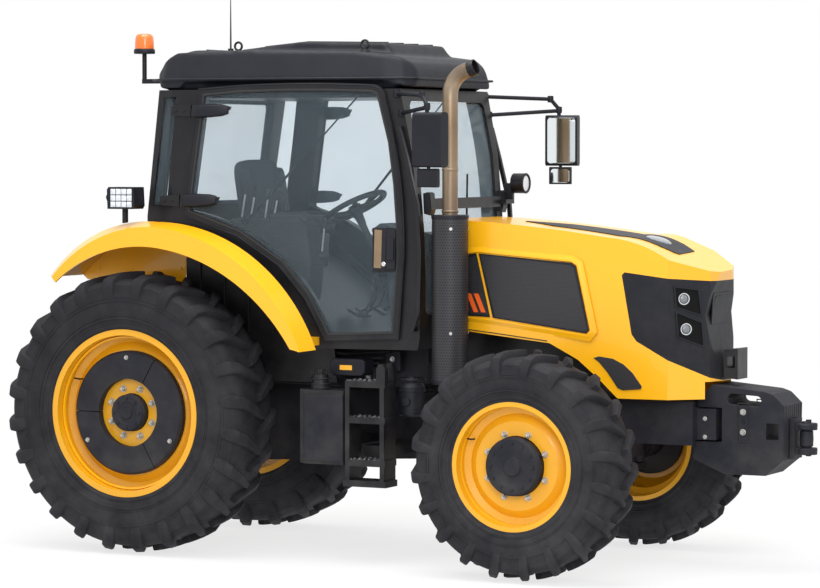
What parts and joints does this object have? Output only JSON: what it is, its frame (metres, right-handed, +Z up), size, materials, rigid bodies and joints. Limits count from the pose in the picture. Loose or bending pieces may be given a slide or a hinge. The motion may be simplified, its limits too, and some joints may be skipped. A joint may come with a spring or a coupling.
{
  "type": "farm tractor",
  "caption": "Four-wheel-drive farm tractor with a glazed cab, tilting hood, front ballast pack, lugged tyres and a rear three-point linkage.",
  "frame": {"origin": "on the ground, under the middle of the machine's whole length and width", "axes": "+X forward to the nose, +Y to the driver's left, +Z up"},
  "size_m": [5.112, 2.214, 3.382],
  "materials": {
    "amber_lens": "clear amber lens",
    "black_cast": "painted casting, low sheen",
    "black_paint": "semi-gloss",
    "black_plastic": "fine grained",
    "glass": "lightly tinted, clear",
    "pipe_steel": "heat-stained stainless tube",
    "trim_plastic": "grained",
    "tyre": "matt tread rubber",
    "yellow_paint": "gloss enamel"
  },
  "bodies": {
    "chassis": {"battery_box": "black_paint", "beacon": "amber_lens", "cab_frame": "black_paint", "canister": "black_plastic", "console": "trim_plastic", "dash": "trim_plastic", "drawbar": "black_paint", "engine": "black_paint", "exhaust_guard": "black_paint", "exhaust_pipe": "pipe_steel", "fender_left": "yellow_paint", "fender_right": "yellow_paint", "front_axle": "black_cast", "front_frame": "black_cast", "front_weights": "black_cast", "fuel_tank": "black_paint", "grab_rails": "black_paint", "lamp_bar": "black_paint", "mirrors": "black_plastic", "quarter_glass": "glass", "rear_glass": "glass", "rear_lamps": "black_plastic", "roof": "black_plastic", "roof_fittings": "black_paint", "seat": "trim_plastic", "seat_base": "black_paint", "side_brackets": "black_paint", "steering_wheel": "trim_plastic", "steps": "black_paint", "tow_clevis": "black_cast", "transmission": "black_cast", "weight_bracket": "black_paint", "windscreen": "glass"},
    "rear_wheel_right": {"rear_tyre_right": "tyre", "rear_rim_right": "yellow_paint", "rear_hub_right": "black_cast", "wheel_weight_right": "black_cast"},
    "knuckle_arm_right": {"knuckle_right": "black_cast"},
    "front_wheel_right": {"front_tyre_right": "tyre", "front_rim_right": "yellow_paint", "front_hub_right": "black_cast"},
    "door_leaf_right": {"door_right": "black_paint", "door_glass_right": "glass"},
    "link_right": {"lower_link_right": "black_paint"},
    "rear_wheel_left": {"rear_tyre_left": "tyre", "rear_rim_left": "yellow_paint", "rear_hub_left": "black_cast", "wheel_weight_left": "black_cast"},
    "knuckle_arm_left": {"knuckle_left": "black_cast"},
    "front_wheel_left": {"front_tyre_left": "tyre", "front_rim_left": "yellow_paint", "front_hub_left": "black_cast"},
    "door_leaf_left": {"door_left": "black_paint", "door_glass_left": "glass"},
    "link_left": {"lower_link_left": "black_paint"},
    "hood_lid": {"hood": "yellow_paint", "nose_mask": "black_plastic", "hood_screens": "black_plastic", "hood_insert": "black_plastic", "headlamps": "glass"}
  },
  "joints": [
    {"name": "rear_wheel_right_spin", "type": "hinge", "parent": "chassis", "child": "rear_wheel_right", "pos_m": [-1.526, -0.75, 0.857], "axis": [0, 1, 0], "continuous": true},
    {"name": "steer_right", "type": "hinge", "parent": "chassis", "child": "knuckle_arm_right", "pos_m": [1.106, -0.74, 0.66], "axis": [0, 0, 1], "range_deg": [-35, 35]},
    {"name": "front_wheel_right_spin", "type": "hinge", "parent": "knuckle_arm_right", "child": "front_wheel_right", "pos_m": [1.106, -0.912, 0.66], "axis": [0, 1, 0], "continuous": true},
    {"name": "door_right_swing", "type": "hinge", "parent": "chassis", "child": "door_leaf_right", "pos_m": [-1.15942, -0.80977, 2.4], "axis": [-0.1404, -0.0179, -0.9899], "range_deg": [0, 70]},
    {"name": "lower_link_right_lift", "type": "hinge", "parent": "chassis", "child": "link_right", "pos_m": [-1.686, -0.248, 0.62], "axis": [0, 1, 0], "range_deg": [-26, 28]},
    {"name": "rear_wheel_left_spin", "type": "hinge", "parent": "chassis", "child": "rear_wheel_left", "pos_m": [-1.526, 0.75, 0.857], "axis": [0, 1, 0], "continuous": true},
    {"name": "steer_left", "type": "hinge", "parent": "chassis", "child": "knuckle_arm_left", "pos_m": [1.106, 0.74, 0.66], "axis": [0, 0, 1], "range_deg": [-35, 35]},
    {"name": "front_wheel_left_spin", "type": "hinge", "parent": "knuckle_arm_left", "child": "front_wheel_left", "pos_m": [1.106, 0.912, 0.66], "axis": [0, 1, 0], "continuous": true},
    {"name": "door_left_swing", "type": "hinge", "parent": "chassis", "child": "door_leaf_left", "pos_m": [-1.15942, 0.80977, 2.4], "axis": [0.1404, -0.0179, 0.9899], "range_deg": [0, 70]},
    {"name": "lower_link_left_lift", "type": "hinge", "parent": "chassis", "child": "link_left", "pos_m": [-1.686, 0.248, 0.62], "axis": [0, 1, 0], "range_deg": [-26, 28]},
    {"name": "hood_lift", "type": "hinge", "parent": "chassis", "child": "hood_lid", "pos_m": [0.374, 0, 1.975], "axis": [0, -1, 0], "range_deg": [0, 48]}
  ],
  "couplings": [
    {"joint": "steer_left", "follows": "steer_right", "ratio": 1},
    {"joint": "lower_link_left_lift", "follows": "lower_link_right_lift", "ratio": 1}
  ]
}
